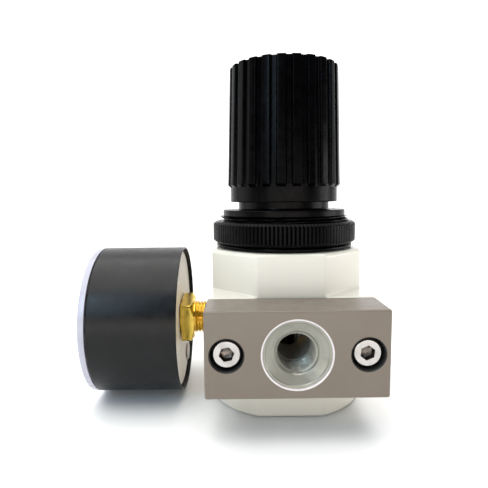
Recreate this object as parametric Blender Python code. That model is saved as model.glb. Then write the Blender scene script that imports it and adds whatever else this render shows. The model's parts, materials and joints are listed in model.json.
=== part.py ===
"""Relieving air pressure regulator with a panel nut, two flanged port plates and a 40 mm gauge.

Frame: metres, +Z up along the knob's axis, origin at the centre of the body's flat underside.
+X points away from the gauge, -Y is the side of the inlet port plate.
Sizes below are in millimetres times MM. Pieces that touch keep GAP between them.
"""

import math

import bmesh
import bpy
from mathutils import Matrix, Vector

MM = 0.001
GAP = 0.3
FINE, ROUND, SMALL, TINY = 32, 20, 12, 8  # facets of large to tiny round pieces

# Body: an octagonal bowl over a rounder foot, with a rectangular block across its middle
BODY_FLATS = 40.0
BODY_HEIGHT = 41.7
BODY_EDGE = 1.0
BLOCK_HALF_X, BLOCK_HALF_Y = 20.6, 20.1
PORT_Z = 21.0
BLOCK_LOW, BLOCK_HIGH = PORT_Z - 10.0, PORT_Z + 10.0

# Port plates and their screws
PLATE_INNER_Y, PLATE_OUTER_Y = 20.4, 32.6
PLATE_EDGE = 0.5
PORT_BORE = 4.3
PORT_THREAD = 4.8
PORT_CONE = 7.1
PORT_RING = 8.1
SCREW_X = 15.65
SCREW_HEAD, SCREW_SHANK = 3.4, 2.0
SCREW_RECESS = 3.72

# Side ports for the gauge and the blanking plug
SIDE_PORT, SIDE_THREAD = 4.9, 4.6
SIDE_PORT_END = 12.0

# Chambers inside the body
CAP_BORE, CAP_SEAT_Z = 9.5, 6.0
CHAMBER, CHAMBER_TOP = 8.5, 19.0
SEAT_BORE, SEAT_TOP = 6.3, 22.5
DIAPHRAGM_BOWL, BOWL_LOW = 13.0, 30.0
LEDGE_Z, BONNET_RECESS = 33.7, 16.5

# Bonnet, panel nut and its washer
BONNET_SPIGOT = BONNET_RECESS - GAP
BONNET_LOW = 36.6
THREAD_LOW, THREAD_TOP = BODY_HEIGHT + GAP, 50.2
PANEL_THREAD = 18.0
COLLAR, COLLAR_TOP = 17.1, 52.1
NECK, NECK_TOP = 12.7, 76.0
SPRING_BORE, HEX_LOW = 13.5, 49.0
GUIDE_FLATS = 19.4
CEILING_Z = 72.5
WASHER_TOP = 42.8
NUT_LOW, NUT_TOP, NUT_RADIUS = 43.1, 49.0, 20.0

# Knob
KNOB_LOW, RIB_LOW, KNOB_TOP = 54.2, 58.9, 90.4
RIB_COUNT, RIB_DEPTH = 24, 0.8
KNOB_SKIRT, RIB_FOOT, RIB_HEAD = 14.95, 15.7, 14.9
KNOB_BORE, KNOB_ROOF = 13.1, 87.4
HUB_RADIUS, HUB_LOW = 7.0, 80.0

# Spindle, nut and range spring
SPINDLE, SPINDLE_LOW, SPINDLE_COLLAR_LOW = 3.0, 48.0, 69.6
HEAD_FLATS, SOCKET_FLATS = 7.0, 7.6
SPRING_NUT_LOW, SPRING_NUT_TOP = 64.5, 69.3
RANGE_SPRING, RANGE_WIRE, RANGE_TURNS = 8.0, 1.2, 6.5

# Diaphragm stack and valve
DIAPHRAGM_RIM_Z, DIAPHRAGM_TOP_Z, DIAPHRAGM_THICK = 34.0, 36.5, 0.8
VALVE_DISC, VALVE_DISC_LOW = 5.5, 13.9
STEM_TOP = 34.9
VALVE_SPRING, VALVE_WIRE, VALVE_TURNS = 4.3, 0.45, 5

# Gauge, measured along its own axis from the knob's axis
CASE_RADIUS, CASE_REAR, CASE_FRONT = 20.3, 28.5, 51.0
CASE_BORE = 19.0
WINDOW_FRONT = 53.0
BACK_PLATE, BACK_PLATE_REAR, BACK_PLATE_FRONT = 19.6, 29.6, 31.2
SQUARE_FLATS, SQUARE_TURN, SQUARE_REAR = 10.8, -8.5, 25.8
TUBE_RADIUS, TUBE_WALL, TUBE_LOW, TUBE_HIGH = 13.5, 1.6, 33.0, 37.0
TUBE_START, TUBE_END = 250.5, 2.0
REAR_PLATE, FRONT_PLATE, PLATE_THICK = 38.5, 44.0, 1.2
PILLAR_X, PILLAR_Y = 5.5, 2.0
DIAL_REAR, DIAL_RADIUS = 48.2, 18.4
TOOTH_ANGLE = 6.0
SECTOR_Y, SECTOR_PITCH, PINION_PITCH = -10.6, 9.0, 1.5
SECTOR_REST_TURN = -22.5
TAIL_LENGTH = 5.0
POINTER_ZERO = 225.0

COLOURS = {
    "paint": ((0.87, 0.86, 0.77), 0.35, 0.0),
    "plate_paint": ((0.31, 0.28, 0.25), 0.45, 0.1),
    "black_plastic": ((0.015, 0.015, 0.017), 0.38, 0.0),
    "gauge_black": ((0.02, 0.02, 0.022), 0.45, 0.0),
    "cream": ((0.75, 0.70, 0.64), 0.5, 0.0),
    "clear": ((0.80, 0.80, 0.88), 0.1, 0.0),
    "brass": ((0.78, 0.57, 0.20), 0.25, 1.0),
    "nickel": ((0.75, 0.73, 0.72), 0.2, 1.0),
    "steel": ((0.55, 0.56, 0.58), 0.3, 1.0),
    "rubber": ((0.03, 0.03, 0.03), 0.7, 0.0),
    "dial_white": ((0.9, 0.9, 0.9), 0.5, 0.0),
}


def material(name):
    """Principled material of one of the object's finishes, made once."""
    found = bpy.data.materials.get(name)
    if found:
        return found
    colour, roughness, metallic = COLOURS[name]
    made = bpy.data.materials.new(name)
    made.use_nodes = True
    surface = made.node_tree.nodes["Principled BSDF"]
    surface.inputs["Base Color"].default_value = (*colour, 1.0)
    surface.inputs["Roughness"].default_value = roughness
    surface.inputs["Metallic"].default_value = metallic
    return made


def finish(name, bm, finish_name, parent=None, hidden=False):
    """Turn a bmesh drawn in millimetres into a smooth-shaded object."""
    bmesh.ops.remove_doubles(bm, verts=bm.verts, dist=1e-4)
    bmesh.ops.recalc_face_normals(bm, faces=bm.faces)
    bmesh.ops.scale(bm, vec=(MM, MM, MM), verts=bm.verts)
    mesh = bpy.data.meshes.new(name)
    bm.to_mesh(mesh)
    bm.free()
    mesh.shade_smooth()
    mesh.set_sharp_from_angle(angle=math.radians(35))
    made = bpy.data.objects.new(name, mesh)
    bpy.context.collection.objects.link(made)
    made.parent = parent
    if hidden:
        made.hide_render = True
        made.display_type = "WIRE"
    else:
        mesh.materials.append(material(finish_name))
    return made


def turned_mesh(profile, facets):
    """Spin an outline of (radius, height) points about Z; it closes on itself or on the axis."""
    bm = bmesh.new()
    points = [bm.verts.new((radius, 0.0, height)) for radius, height in profile]
    edges = [bm.edges.new(pair) for pair in zip(points, points[1:])]
    if profile[0][0] > 0.0:
        edges.append(bm.edges.new((points[-1], points[0])))
    bmesh.ops.spin(bm, geom=points + edges, axis=(0, 0, 1), cent=(0, 0, 0),
                   steps=facets, angle=math.tau, use_merge=True)
    bmesh.ops.remove_doubles(bm, verts=bm.verts, dist=1e-4)
    return bm


def turned(name, finish_name, profile, facets=ROUND, parent=None, hidden=False):
    return finish(name, turned_mesh(profile, facets), finish_name, parent, hidden)


def ring_profile(inner, outer, low, high):
    return [(inner, low), (outer, low), (outer, high), (inner, high)]


def rod_profile(radius, low, high):
    return [(0.0, low), (radius, low), (radius, high), (0.0, high)]


def loft(name, finish_name, rings, parent=None, hidden=False):
    """Skin closed outlines with equal point counts, then cap both ends."""
    bm = bmesh.new()
    rows = [[bm.verts.new(point) for point in ring] for ring in rings]
    count = len(rows[0])
    for lower, upper in zip(rows, rows[1:]):
        for i in range(count):
            j = (i + 1) % count
            bm.faces.new((lower[i], lower[j], upper[j], upper[i]))
    bm.faces.new(list(reversed(rows[0])))
    bm.faces.new(rows[-1])
    return finish(name, bm, finish_name, parent, hidden)


def prism(name, finish_name, outline, low, high, parent=None, hidden=False):
    rings = [[(x, y, z) for x, y in outline] for z in (low, high)]
    return loft(name, finish_name, rings, parent, hidden)


def polygon(sides, across_flats, turn=0.0):
    """Regular outline with a flat facing +X before it is turned by turn degrees."""
    corner = across_flats / 2 / math.cos(math.pi / sides)
    step = math.tau / sides
    angles = [math.radians(turn) + (i + 0.5) * step for i in range(sides)]
    return [(corner * math.cos(a), corner * math.sin(a)) for a in angles]


def rectangle(low_x, high_x, low_y, high_y):
    return [(low_x, low_y), (high_x, low_y), (high_x, high_y), (low_x, high_y)]


def arc(radius, start, end, steps):
    """Points from start to end degrees along an arc about the origin."""
    angles = [math.radians(start + (end - start) * i / steps) for i in range(steps + 1)]
    return [(radius * math.cos(a), radius * math.sin(a)) for a in angles]


def torus_profile(ring, section, height, facets=6):
    return [(ring + section * math.cos(math.tau * i / facets),
             height + section * math.sin(math.tau * i / facets)) for i in range(facets)]


def wire_path(name, finish_name, points, wire, parent=None):
    """Round wire through the points, with filled ends."""
    curve = bpy.data.curves.new(name, "CURVE")
    curve.dimensions = "3D"
    curve.bevel_depth = wire * MM
    curve.bevel_resolution = 1
    curve.use_fill_caps = True
    spline = curve.splines.new("POLY")
    spline.points.add(len(points) - 1)
    for target, point in zip(spline.points, points):
        target.co = (*(coordinate * MM for coordinate in point), 1.0)
    curve.materials.append(material(finish_name))
    made = bpy.data.objects.new(name, curve)
    bpy.context.collection.objects.link(made)
    made.parent = parent
    return made


def helix(radius, low, high, turns, steps_per_turn=8):
    steps = int(turns * steps_per_turn)
    return [(radius * math.cos(math.tau * turns * i / steps),
             radius * math.sin(math.tau * turns * i / steps),
             low + (high - low) * i / steps) for i in range(steps + 1)]


def combine(target, other, operation):
    """Boolean modifier with a hidden tool object."""
    other.hide_render = True
    other.display_type = "WIRE"
    step = target.modifiers.new(other.name, "BOOLEAN")
    step.operation = operation
    step.object = other


def cut(target, *others):
    for other in others:
        combine(target, other, "DIFFERENCE")


def join(target, *others):
    for other in others:
        combine(target, other, "UNION")


def soften(target, width, segments=1):
    bevel = target.modifiers.new("edge", "BEVEL")
    bevel.width = width * MM
    bevel.segments = segments
    bevel.limit_method = "ANGLE"
    bevel.angle_limit = math.radians(30)


def empty(name, location, rotation=(0.0, 0.0, 0.0)):
    made = bpy.data.objects.new(name, None)
    made.location = Vector(location) * MM
    made.rotation_euler = rotation
    bpy.context.collection.objects.link(made)
    return made


def bore_cutter(name, profile, start, toward, facets=ROUND):
    """Hidden turned cutter whose profile runs from start along toward."""
    made = turned(name, None, profile, facets, hidden=True)
    made.location = Vector(start) * MM
    made.rotation_euler = Vector(toward).to_track_quat("Z", "Y").to_euler()
    return made


# ---------------------------------------------------------------- body and plates

def foot_outline():
    """Four flats, with arcs through the octagon's corners between them."""
    corner = BODY_FLATS / 2 / math.cos(math.pi / 8)
    outline = []
    for quarter in range(4):
        middle = 45 + 90 * quarter
        outline += arc(corner, middle - 22.5, middle + 22.5, 6)
    return outline


def make_body():
    """Die-cast body: foot, octagon, block, chambers, ports and tapped screw holes."""
    inside_block = 1.0
    body = prism("body", "paint", polygon(8, BODY_FLATS), BLOCK_LOW + inside_block, BODY_HEIGHT)
    soften(body, BODY_EDGE)
    foot = prism("body_foot", None, foot_outline(), 0.0, BLOCK_LOW + 3 * inside_block,
                 hidden=True)
    soften(foot, BODY_EDGE, segments=2)
    block = prism("body_block", None,
                  rectangle(-BLOCK_HALF_X, BLOCK_HALF_X, -BLOCK_HALF_Y, BLOCK_HALF_Y),
                  BLOCK_LOW, BLOCK_HIGH, hidden=True)
    soften(block, PLATE_EDGE)
    join(body, foot, block)
    chambers = turned("body_chambers", None, [
        (0.0, -1.0), (CAP_BORE, -1.0), (CAP_BORE, CAP_SEAT_Z), (CHAMBER, CAP_SEAT_Z),
        (CHAMBER, CHAMBER_TOP), (SEAT_BORE, CHAMBER_TOP), (SEAT_BORE, SEAT_TOP),
        (CHAMBER, SEAT_TOP), (CHAMBER, BOWL_LOW), (DIAPHRAGM_BOWL, BOWL_LOW),
        (DIAPHRAGM_BOWL, LEDGE_Z), (BONNET_RECESS, LEDGE_Z),
        (BONNET_RECESS, BODY_HEIGHT + 1.0), (0.0, BODY_HEIGHT + 1.0)], FINE, hidden=True)
    cut(body, chambers)
    cut_air_ways(body)
    cut_screw_holes(body)


def cut_air_ways(body):
    """Inlet drops to the lower chamber; outlet and side ports rise to the upper one."""
    reach = BLOCK_HALF_X + 1.0
    drop_low, rise_high = 12.0, 28.0
    passage_offset, passage, side_passage = 10.2, 3.0, 2.5
    for name, side in (("inlet", -1), ("outlet", 1)):
        port = bore_cutter(name + "_way", rod_profile(PORT_BORE, 0.0, reach - 11.0),
                           (0, side * reach, PORT_Z), (0, -side, 0), SMALL)
        low, high = (drop_low, PORT_Z) if side < 0 else (PORT_Z, rise_high)
        link = bore_cutter(name + "_passage", rod_profile(passage, low, high),
                           (0, side * passage_offset, 0), (0, 0, 1), SMALL)
        cut(body, port, link)
    for name, side in (("gauge", -1), ("plug", 1)):
        port = bore_cutter(name + "_way", rod_profile(SIDE_PORT, 0.0, reach - SIDE_PORT_END),
                           (side * reach, 0, PORT_Z), (-side, 0, 0), SMALL)
        link = bore_cutter(name + "_passage", rod_profile(side_passage, PORT_Z, rise_high),
                           (side * passage_offset, 0, 0), (0, 0, 1), SMALL)
        cut(body, port, link)


def cut_screw_holes(body):
    depth = 9.6
    for side_y in (-1, 1):
        for side_x in (-1, 1):
            cut(body, bore_cutter("screw_hole", rod_profile(SCREW_SHANK + GAP, 0.0, depth),
                                  (side_x * SCREW_X, side_y * (BLOCK_HALF_Y + 1.0), PORT_Z),
                                  (0, -side_y, 0), SMALL))


def make_port_plate(name, side):
    """Flange plate with a countersunk threaded port, an O-ring groove and two counterbores."""
    centre = empty(name + "_axis", (0, 0, PORT_Z), (0, 0, 0 if side < 0 else math.pi))
    half_height = PORT_Z - BLOCK_LOW
    plate = prism(name, "plate_paint",
                  rectangle(-BLOCK_HALF_X, BLOCK_HALF_X, -PLATE_OUTER_Y, -PLATE_INNER_Y),
                  -half_height, half_height, parent=centre)
    soften(plate, PLATE_EDGE)
    depth = PLATE_OUTER_Y - PLATE_INNER_Y
    ring_depth, cone_depth, thread_depth = 0.5, 1.8, 8.2
    port = turned(name + "_port", None, [
        (0.0, -1.0), (PORT_RING, -1.0), (PORT_RING, 0.0), (PORT_CONE, ring_depth),
        (PORT_THREAD, cone_depth), (PORT_THREAD, thread_depth), (PORT_BORE, thread_depth),
        (PORT_BORE, depth + 1.0), (0.0, depth + 1.0)], ROUND, hidden=True)
    groove = turned(name + "_groove", None, ring_profile(5.65, 7.75, depth - 1.8, depth + 1.0),
                    ROUND, hidden=True)
    recess = 5.6
    counterbores = [turned(name + "_counterbore", None, [
        (0.0, -1.0), (SCREW_RECESS, -1.0), (SCREW_RECESS, recess), (SCREW_SHANK + GAP, recess),
        (SCREW_SHANK + GAP, depth + 1.0), (0.0, depth + 1.0)], SMALL, hidden=True)
        for _ in range(2)]
    places = [(port, 0.0), (groove, 0.0)]
    places += [(hole, x) for hole, x in zip(counterbores, (-SCREW_X, SCREW_X))]
    for cutter, x in places:
        cutter.parent = centre
        cutter.location = Vector((x, -PLATE_OUTER_Y, 0.0)) * MM
        cutter.rotation_euler = (-math.pi / 2, 0, 0)
        cut(plate, cutter)
    seal = turned(name.replace("plate", "oring"), "rubber",
                  torus_profile(6.7, 0.75, depth - 0.75), ROUND, parent=centre)
    seal.location = Vector((0.0, -PLATE_OUTER_Y, 0.0)) * MM
    seal.rotation_euler = (-math.pi / 2, 0, 0)
    for hand, x in (("left", -SCREW_X), ("right", SCREW_X)):
        make_screw(name.replace("plate", "screw_") + hand, centre, x)


def make_screw(name, centre, x):
    """Socket head cap screw, its head just under the plate's face."""
    head_top, head_low, tip = 1.0, 5.0, 21.0
    screw = turned(name, "nickel", [
        (0.0, head_top), (SCREW_HEAD - 0.4, head_top), (SCREW_HEAD, head_top + 0.4),
        (SCREW_HEAD, head_low), (SCREW_SHANK, head_low), (SCREW_SHANK, tip), (0.0, tip)],
        SMALL, parent=centre)
    socket = prism(name + "_socket", None, polygon(6, 3.0), 0.0, head_top + 2.2, parent=centre,
                   hidden=True)
    for piece in (screw, socket):
        piece.location = Vector((x, -PLATE_OUTER_Y, 0.0)) * MM
        piece.rotation_euler = (-math.pi / 2, 0, 0)
    cut(screw, socket)


def make_blanking_plug():
    """Threaded plug in the unused side port, with a hex socket."""
    outer, inner, socket_depth = BLOCK_HALF_X - GAP, SIDE_PORT_END + 0.8, 4.0
    plug = turned("blanking_plug", "nickel", rod_profile(SIDE_THREAD, inner, outer), SMALL)
    socket = prism("plug_socket", None, polygon(6, 5.0), outer - socket_depth, outer + 1.0,
                   hidden=True)
    for piece in (plug, socket):
        piece.location = (0, 0, PORT_Z * MM)
        piece.rotation_euler = (0, math.pi / 2, 0)
    cut(plug, socket)


# ---------------------------------------------------------------- valve and diaphragm

def make_valve_cap():
    """Plug under the valve: O-ring groove, guide boss and two holes for a pin spanner."""
    edge, groove_floor, boss, guide = CAP_BORE - GAP, 7.4, 3.1, 2.0
    top, floor = CAP_SEAT_Z - GAP, 1.8
    cap = turned("valve_cap", "brass", [
        (0.0, 0.0), (edge, 0.0), (edge, 2.05), (groove_floor, 2.05), (groove_floor, 4.15),
        (edge, 4.15), (edge, top), (boss, top), (boss, 8.0), (guide, 8.0), (guide, floor),
        (0.0, floor)])
    for x in (-5.0, 5.0):
        cut(cap, bore_cutter("spanner_hole", rod_profile(1.25, -1.0, 2.5), (x, 0, 0),
                             (0, 0, 1), SMALL))
    turned("valve_cap_oring", "rubber", torus_profile(8.45, 0.75, 3.1))


def make_valve():
    lip, lip_low = 3.2, 17.2
    turned("valve_seat", "brass", [
        (lip, lip_low), (3.9, lip_low), (3.9, 17.7), (8.2, 17.7), (8.2, 18.7), (6.0, 18.7),
        (6.0, 22.2), (lip, 22.2)])
    disc_top = VALVE_DISC_LOW + 1.7
    turned("valve_poppet", "brass", [
        (0.0, 4.2), (1.6, 4.2), (1.6, VALVE_DISC_LOW), (VALVE_DISC, VALVE_DISC_LOW),
        (VALVE_DISC, disc_top), (1.2, disc_top), (1.2, STEM_TOP - 1.0), (0.7, STEM_TOP),
        (0.0, STEM_TOP)], ROUND)
    turned("valve_rubber", "rubber",
           ring_profile(1.5, 5.0, disc_top + GAP, lip_low - GAP), ROUND)
    low = CAP_SEAT_Z + VALVE_WIRE
    high = VALVE_DISC_LOW - GAP - VALVE_WIRE
    wire_path("valve_spring", "steel", helix(VALVE_SPRING, low, high, VALVE_TURNS), VALVE_WIRE)


def make_diaphragm_stack():
    """Relief seat below, convoluted diaphragm, spring plate above, and the clamping ring."""
    low, top = DIAPHRAGM_RIM_Z, DIAPHRAGM_TOP_Z
    thick = DIAPHRAGM_THICK
    rim, bend, shoulder, hole = BONNET_SPIGOT, 13.0, 9.5, 2.8
    turned("diaphragm", "rubber", [
        (hole, top), (shoulder, top), (bend, low), (rim, low), (rim, low + thick),
        (bend + 0.3, low + thick), (shoulder + 0.3, top + thick), (hole, top + thick)])
    stem, vent = hole - GAP, 0.8
    seat_low, seat_top = STEM_TOP + GAP, top - GAP
    plate_low = top + thick + GAP
    plate_top = plate_low + 1.2
    turned("relief_seat", "brass", [
        (vent, seat_low), (6.0, seat_low), (6.0, seat_top), (stem, seat_top),
        (stem, plate_top + GAP), (3.8, plate_top + GAP), (3.8, plate_top + 1.0),
        (vent, plate_top + 1.0)], ROUND)
    turned("diaphragm_plate", "steel", ring_profile(hole, 10.5, plate_low, plate_top))
    turned("diaphragm_ring", "steel",
           ring_profile(13.4, rim, low + thick + GAP, BONNET_LOW - GAP))
    wire_path("range_spring", "steel",
              helix(RANGE_SPRING, plate_top + GAP + RANGE_WIRE,
                    SPRING_NUT_LOW - GAP - RANGE_WIRE, RANGE_TURNS), RANGE_WIRE)


# ---------------------------------------------------------------- bonnet, nut, spindle, knob

def make_bonnet():
    guide_bore, guide_top, spindle_hole = 9.3, CEILING_Z - 0.5, SPINDLE + GAP
    bonnet = turned("bonnet", "black_plastic", [
        (SPRING_BORE, BONNET_LOW), (BONNET_SPIGOT, BONNET_LOW), (BONNET_SPIGOT, THREAD_LOW),
        (PANEL_THREAD, THREAD_LOW), (PANEL_THREAD, THREAD_TOP), (COLLAR, THREAD_TOP + GAP),
        (COLLAR, COLLAR_TOP), (NECK, COLLAR_TOP), (NECK, NECK_TOP), (spindle_hole, NECK_TOP),
        (spindle_hole, CEILING_Z), (guide_bore, CEILING_Z), (guide_bore, HEX_LOW),
        (SPRING_BORE, HEX_LOW)], FINE)
    cut(bonnet, prism("nut_guide", None, polygon(6, GUIDE_FLATS), HEX_LOW - 1.0, guide_top,
                      hidden=True))
    turned("slip_washer", "black_plastic",
           ring_profile(PANEL_THREAD + GAP, 19.1, THREAD_LOW, WASHER_TOP), FINE)
    bevel, shoulder = 0.5, 19.0
    turned("panel_nut", "black_plastic", [
        (PANEL_THREAD + GAP, NUT_LOW), (NUT_RADIUS - bevel, NUT_LOW),
        (NUT_RADIUS, NUT_LOW + bevel), (NUT_RADIUS, NUT_TOP - 2 * bevel),
        (shoulder, NUT_TOP - bevel), (shoulder, NUT_TOP), (PANEL_THREAD + GAP, NUT_TOP)], FINE)


def make_spindle():
    """Captive adjusting spindle, its thrust washer, circlip and travelling spring nut."""
    collar, collar_top = 5.5, CEILING_Z - 1.6
    groove_low, groove_top, groove = NECK_TOP, NECK_TOP + 1.4, SPINDLE - 0.5
    head_low, head_top = NECK_TOP + 1.6, 85.2
    spindle = turned("spindle", "steel", [
        (0.0, SPINDLE_LOW), (SPINDLE, SPINDLE_LOW), (SPINDLE, SPINDLE_COLLAR_LOW),
        (collar, SPINDLE_COLLAR_LOW), (collar, collar_top), (SPINDLE, collar_top),
        (SPINDLE, groove_low), (groove, groove_low), (groove, groove_top),
        (SPINDLE, groove_top), (SPINDLE, head_low + 0.6), (0.0, head_low + 0.6)], ROUND)
    join(spindle, prism("spindle_head", None, polygon(6, HEAD_FLATS), head_low, head_top,
                        hidden=True))
    turned("thrust_washer", "steel",
           ring_profile(SPINDLE + 0.4, 6.5, collar_top + GAP, CEILING_Z - GAP), ROUND)
    clip_outline = arc(5.0, 25, 335, 20) + arc(groove + GAP, 335, 25, 20)
    prism("spindle_circlip", "steel", clip_outline, groove_low + 0.35, groove_top - 0.35)
    nut = prism("spring_nut", "steel", polygon(6, GUIDE_FLATS - 2 * GAP),
                SPRING_NUT_LOW, SPRING_NUT_TOP)
    join(nut, turned("spring_nut_boss", None,
                     rod_profile(6.3, SPRING_NUT_LOW - 2.0, SPRING_NUT_LOW + 1.0),
                     ROUND, hidden=True))
    cut(nut, turned("spring_nut_bore", None,
                    rod_profile(SPINDLE + GAP, SPRING_NUT_LOW - 3.0, SPRING_NUT_TOP + 1.0),
                    ROUND, hidden=True))


def ribbed_ring(crest, valley, height):
    """Outline with one flat-topped rib every 15 degrees."""
    step = 360.0 / RIB_COUNT
    places = ((-0.34, valley), (-0.20, crest), (0.20, crest), (0.34, valley))
    ring = []
    for i in range(RIB_COUNT):
        for share, radius in places:
            angle = math.radians((i + 0.5 + share) * step)
            ring.append((radius * math.cos(angle), radius * math.sin(angle), height))
    return ring


def make_knob():
    """Ribbed cap with a plain skirt, hollow over the bonnet's neck, with a hex-socketed hub."""
    edge = 0.8
    knob = loft("knob", "black_plastic", [
        ribbed_ring(KNOB_SKIRT, KNOB_SKIRT, KNOB_LOW),
        ribbed_ring(KNOB_SKIRT, KNOB_SKIRT, RIB_LOW - 0.4),
        ribbed_ring(RIB_FOOT, RIB_FOOT - RIB_DEPTH, RIB_LOW),
        ribbed_ring(RIB_HEAD, RIB_HEAD - RIB_DEPTH, KNOB_TOP - edge),
        ribbed_ring(RIB_HEAD - edge, RIB_HEAD - RIB_DEPTH - edge, KNOB_TOP)])
    hollow = turned("knob_hollow", None, [
        (0.0, KNOB_LOW - 1.0), (KNOB_BORE, KNOB_LOW - 1.0), (KNOB_BORE, KNOB_ROOF),
        (HUB_RADIUS, KNOB_ROOF), (HUB_RADIUS, HUB_LOW), (0.0, HUB_LOW)], ROUND, hidden=True)
    socket = prism("knob_socket", None, polygon(6, SOCKET_FLATS), HUB_LOW - 1.0, KNOB_ROOF,
                   hidden=True)
    cut(knob, hollow, socket)


# ---------------------------------------------------------------- gauge

def make_gauge_shell(gauge):
    """Casing, rear plate with its relief plug, and the snap-on window."""
    chamfer, lip, lip_low, lip_high = 0.4, 17.2, 31.5, 32.5
    turned("gauge_case", "gauge_black", [
        (BACK_PLATE + GAP, CASE_REAR), (CASE_RADIUS - chamfer, CASE_REAR),
        (CASE_RADIUS, CASE_REAR + chamfer), (CASE_RADIUS, CASE_FRONT), (CASE_BORE, CASE_FRONT),
        (CASE_BORE, lip_high), (lip, lip_high), (lip, lip_low), (BACK_PLATE + GAP, lip_low)],
        FINE, parent=gauge)
    plug_x, plug_y, plug, plug_head = -8.0, -13.3, 1.8, 2.6
    back = turned("gauge_back_plate", "cream",
                  ring_profile(5.0, BACK_PLATE, BACK_PLATE_REAR, BACK_PLATE_FRONT), FINE,
                  parent=gauge)
    hole = turned("relief_hole", None,
                  rod_profile(plug + GAP, BACK_PLATE_REAR - 1.0, BACK_PLATE_FRONT + 1.0),
                  SMALL, parent=gauge, hidden=True)
    head_top = BACK_PLATE_REAR - GAP
    relief = turned("relief_plug", "rubber", [
        (0.0, head_top - 0.4), (plug_head, head_top - 0.4), (plug_head, head_top),
        (plug, head_top), (plug, BACK_PLATE_FRONT), (0.0, BACK_PLATE_FRONT)],
        SMALL, parent=gauge)
    for piece in (hole, relief):
        piece.location = Vector((plug_x, plug_y, 0)) * MM
    cut(back, hole)
    skirt, skirt_inner, skirt_low, glass_low = CASE_BORE - GAP, 17.2, 49.8, 51.8
    face_low = CASE_FRONT + GAP
    turned("gauge_window", "clear", [
        (0.0, glass_low), (skirt_inner, glass_low), (skirt_inner, skirt_low),
        (skirt, skirt_low), (skirt, face_low), (CASE_RADIUS, face_low),
        (CASE_RADIUS, WINDOW_FRONT - 0.5), (CASE_RADIUS - 0.5, WINDOW_FRONT),
        (0.0, WINDOW_FRONT)], FINE, parent=gauge)


def make_gauge_socket(gauge):
    """Brass socket: pipe thread, wrench square, neck and the block that holds the tube."""
    thread_start, neck = SIDE_PORT_END + 1.5, 4.6
    square_front = BACK_PLATE_REAR - GAP
    block_rear, block_front = BACK_PLATE_FRONT + GAP, REAR_PLATE - GAP
    socket = turned("gauge_socket", "brass", [
        (0.0, thread_start), (SIDE_THREAD, thread_start), (SIDE_THREAD, SQUARE_REAR + 0.5),
        (neck, square_front - 0.5), (neck, block_rear + 1.0), (0.0, block_rear + 1.0)],
        SMALL, parent=gauge)
    square = prism("wrench_square", None, polygon(4, SQUARE_FLATS, SQUARE_TURN), SQUARE_REAR,
                   square_front, parent=gauge, hidden=True)
    block = prism("tube_block", None, rectangle(-4.0, 4.0, -15.5, 4.5), block_rear,
                  block_front, parent=gauge, hidden=True)
    join(socket, square, block)
    cut(socket, turned("socket_way", None, rod_profile(1.5, thread_start - 1.0, 35.0), SMALL,
                       parent=gauge, hidden=True))
    tube_way = turned("tube_way", None, rod_profile(1.0, 0.0, TUBE_RADIUS), TINY,
                      parent=gauge, hidden=True)
    tube_way.location = (0, 0, 34.9 * MM)
    tube_way.rotation_euler = (math.pi / 2, 0, 0)
    cut(socket, tube_way)
    for name, x in (("movement_screw_left", -2.6), ("movement_screw_right", 2.6)):
        y, head_low = -5.0, REAR_PLATE + PLATE_THICK + GAP
        screw = turned(name, "brass", [
            (0.0, 36.0), (0.6, 36.0), (0.6, head_low), (1.3, head_low), (1.3, head_low + 0.5),
            (0.0, head_low + 0.5)], TINY, parent=gauge)
        hole = turned(name + "_hole", None, rod_profile(0.95, 35.5, block_front + 1.0), TINY,
                      parent=gauge, hidden=True)
        for piece in (screw, hole):
            piece.location = (x * MM, y * MM, 0)
        cut(socket, hole)


def make_bourdon_tube(gauge):
    """C-shaped elastic tube from the block round to its soldered tip."""
    half = TUBE_WALL / 2
    steps = 32
    outline = arc(TUBE_RADIUS + half, TUBE_START, TUBE_END, steps)
    outline += arc(TUBE_RADIUS - half, TUBE_END, TUBE_START, steps)
    prism("bourdon_tube", "brass", outline, TUBE_LOW, TUBE_HIGH, parent=gauge)
    tip_half = 1.5
    prism("bourdon_tip", "brass",
          rectangle(TUBE_RADIUS - tip_half, TUBE_RADIUS + tip_half, -3.0, 0.0),
          TUBE_LOW, REAR_PLATE + PLATE_THICK, parent=gauge)


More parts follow.
